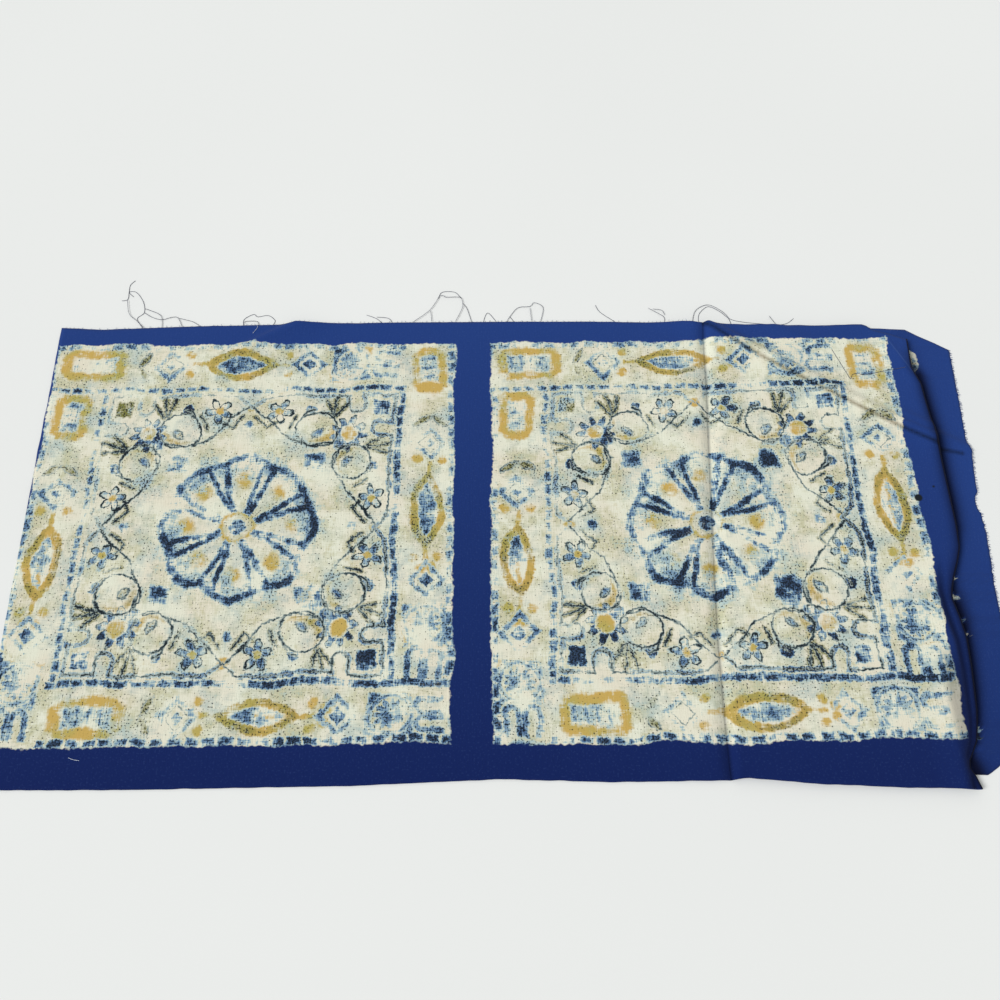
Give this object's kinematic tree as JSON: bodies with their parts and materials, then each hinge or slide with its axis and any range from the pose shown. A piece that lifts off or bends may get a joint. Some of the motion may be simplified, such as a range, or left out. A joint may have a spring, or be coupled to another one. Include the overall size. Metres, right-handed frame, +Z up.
{
  "type": "printed fabric panel",
  "caption": "Rectangular printed cotton cloth laid flat, its last panel pleated back beneath, with bordered floral square panels on a blue ground and a frayed raw end.",
  "frame": {"origin": "on the resting surface, below the middle of the blue gap between the two printed squares that show", "axes": "+X along the cloth towards its folded right end, +Y across it towards the far long edge with the loose yarns, +Z up"},
  "size_m": [0.5988, 0.3483, 0.0086],
  "materials": {
    "printed_cotton": "matt plain-weave cotton, royal blue ground, cream panels with blue, mustard and olive print, worn and specked",
    "loose_yarn": "fine dark blue cotton yarn, matt and slightly hairy"
  },
  "bodies": {
    "root": {"cloth": "printed_cotton", "edge_yarns_1": "loose_yarn", "edge_yarns_2": "loose_yarn", "edge_yarns_3": "loose_yarn", "edge_yarns_4": "loose_yarn", "edge_yarns_5": "loose_yarn", "edge_yarns_6": "loose_yarn"}
  },
  "joints": []
}
